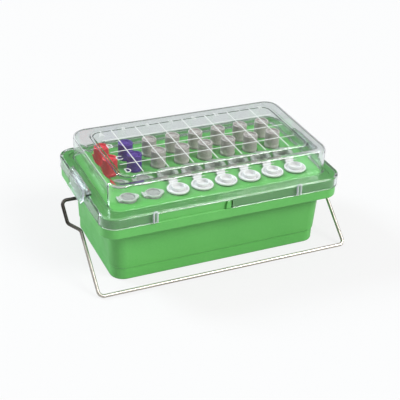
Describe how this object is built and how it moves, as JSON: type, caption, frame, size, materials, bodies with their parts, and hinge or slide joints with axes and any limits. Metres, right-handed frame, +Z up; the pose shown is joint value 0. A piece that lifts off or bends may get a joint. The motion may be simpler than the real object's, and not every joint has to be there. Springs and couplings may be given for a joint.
{
  "type": "cryogenic storage box",
  "caption": "Gel-filled bench-top cooler box with a green tub, clear domed lid with swing latches, wire carrying handle and rows of capped sample tubes.",
  "frame": {"origin": "centre of the tub's flat bottom, on the bench", "axes": "+X along the row of eight wells, +Z up, -Y towards the front, where the handle bar lies"},
  "size_m": [0.2496, 0.1353, 0.0931],
  "materials": {
    "green_body": "satin moulded green",
    "green_deck": "satin moulded green",
    "gel": "frozen cooling gel",
    "nylon": "natural nylon",
    "clear_lid": "clear moulded polycarbonate",
    "white_print": "white screen print",
    "steel_wire": "drawn stainless wire",
    "tube_clear": "translucent polypropylene",
    "cap_red": "moulded red",
    "cap_purple": "moulded purple",
    "cap_grey": "moulded grey",
    "cap_white": "moulded white"
  },
  "bodies": {
    "base": {"tub_shell": "green_body", "deck_plate": "green_deck", "gel_core": "gel", "fill_plug": "nylon", "bush_left": "nylon", "bush_right": "nylon", "well_cups_a": "green_deck", "well_cups_b": "green_deck", "well_cups_c": "green_deck", "well_cups_d": "green_deck", "vials_row_a": "tube_clear", "vials_row_b": "tube_clear", "screw_cap_a1": "cap_red", "screw_cap_a2": "cap_purple", "screw_cap_a3": "cap_grey", "screw_cap_a4": "cap_grey", "screw_cap_a5": "cap_grey", "screw_cap_a6": "cap_grey", "screw_cap_a7": "cap_grey", "screw_cap_a8": "cap_grey", "screw_cap_b1": "cap_red", "screw_cap_b2": "cap_purple", "screw_cap_b3": "cap_grey", "screw_cap_b4": "cap_grey", "screw_cap_b5": "cap_grey", "screw_cap_b6": "cap_grey", "screw_cap_b7": "cap_grey", "screw_cap_b8": "cap_grey", "closed_tube_c1": "tube_clear", "closed_tube_c2": "tube_clear", "closed_tube_d1": "tube_clear", "closed_tube_d2": "tube_clear", "open_tube_c3": "tube_clear", "open_tube_c4": "tube_clear", "open_tube_c5": "tube_clear", "open_tube_c6": "tube_clear", "open_tube_c7": "tube_clear", "open_tube_c8": "tube_clear"},
    "lid": {"lid_shell": "clear_lid", "lid_grid_print": "white_print", "lid_row_letters": "white_print", "lid_column_numbers": "white_print", "latch_pin_left": "clear_lid", "latch_pin_right": "clear_lid"},
    "latch_left": {"latch_left": "clear_lid"},
    "latch_right": {"latch_right": "clear_lid"},
    "handle": {"handle_wire": "steel_wire"},
    "closed_cap_c1": {"closed_cap_c1": "tube_clear"},
    "closed_cap_c2": {"closed_cap_c2": "tube_clear"},
    "closed_cap_d1": {"closed_cap_d1": "tube_clear"},
    "closed_cap_d2": {"closed_cap_d2": "tube_clear"},
    "open_cap_c3": {"open_cap_c3": "cap_white"},
    "open_cap_c4": {"open_cap_c4": "cap_white"},
    "open_cap_c5": {"open_cap_c5": "cap_white"},
    "open_cap_c6": {"open_cap_c6": "cap_white"},
    "open_cap_c7": {"open_cap_c7": "cap_white"},
    "open_cap_c8": {"open_cap_c8": "cap_white"}
  },
  "joints": [
    {"name": "lid_lift", "type": "slide", "parent": "base", "child": "lid", "axis": [0, 0, 1], "range_m": [0, 0.06]},
    {"name": "handle_swing", "type": "hinge", "parent": "base", "child": "handle", "pos_m": [0, 0, 0.0555], "axis": [-1, 0, 0], "range_deg": [0, 256.6]},
    {"name": "latch_left_swing", "type": "hinge", "parent": "lid", "child": "latch_left", "pos_m": [-0.1066, 0, 0.0714], "axis": [0, 1, 0], "range_deg": [0, 110]},
    {"name": "latch_right_swing", "type": "hinge", "parent": "lid", "child": "latch_right", "pos_m": [0.1066, 0, 0.0714], "axis": [0, -1, 0], "range_deg": [0, 110]},
    {"name": "closed_cap_c1_flip", "type": "hinge", "parent": "base", "child": "closed_cap_c1", "pos_m": [-0.0856, -0.011, 0.0679], "axis": [0, -1, 0], "range_deg": [0, 110]},
    {"name": "closed_cap_c2_flip", "type": "hinge", "parent": "base", "child": "closed_cap_c2", "pos_m": [-0.0636, -0.011, 0.0679], "axis": [0, -1, 0], "range_deg": [0, 110]},
    {"name": "closed_cap_d1_flip", "type": "hinge", "parent": "base", "child": "closed_cap_d1", "pos_m": [-0.0856, -0.033, 0.0679], "axis": [0, -1, 0], "range_deg": [0, 110]},
    {"name": "closed_cap_d2_flip", "type": "hinge", "parent": "base", "child": "closed_cap_d2", "pos_m": [-0.0636, -0.033, 0.0679], "axis": [0, -1, 0], "range_deg": [0, 110]},
    {"name": "open_cap_c3_flip", "type": "hinge", "parent": "base", "child": "open_cap_c3", "pos_m": [-0.033, -0.022, 0.06965], "axis": [-1, 0, 0], "range_deg": [0, 180]},
    {"name": "open_cap_c4_flip", "type": "hinge", "parent": "base", "child": "open_cap_c4", "pos_m": [-0.011, -0.022, 0.06965], "axis": [-1, 0, 0], "range_deg": [0, 180]},
    {"name": "open_cap_c5_flip", "type": "hinge", "parent": "base", "child": "open_cap_c5", "pos_m": [0.011, -0.022, 0.06965], "axis": [-1, 0, 0], "range_deg": [0, 180]},
    {"name": "open_cap_c6_flip", "type": "hinge", "parent": "base", "child": "open_cap_c6", "pos_m": [0.033, -0.022, 0.06965], "axis": [-1, 0, 0], "range_deg": [0, 180]},
    {"name": "open_cap_c7_flip", "type": "hinge", "parent": "base", "child": "open_cap_c7", "pos_m": [0.055, -0.022, 0.06965], "axis": [-1, 0, 0], "range_deg": [0, 180]},
    {"name": "open_cap_c8_flip", "type": "hinge", "parent": "base", "child": "open_cap_c8", "pos_m": [0.077, -0.022, 0.06965], "axis": [-1, 0, 0], "range_deg": [0, 180]}
  ]
}
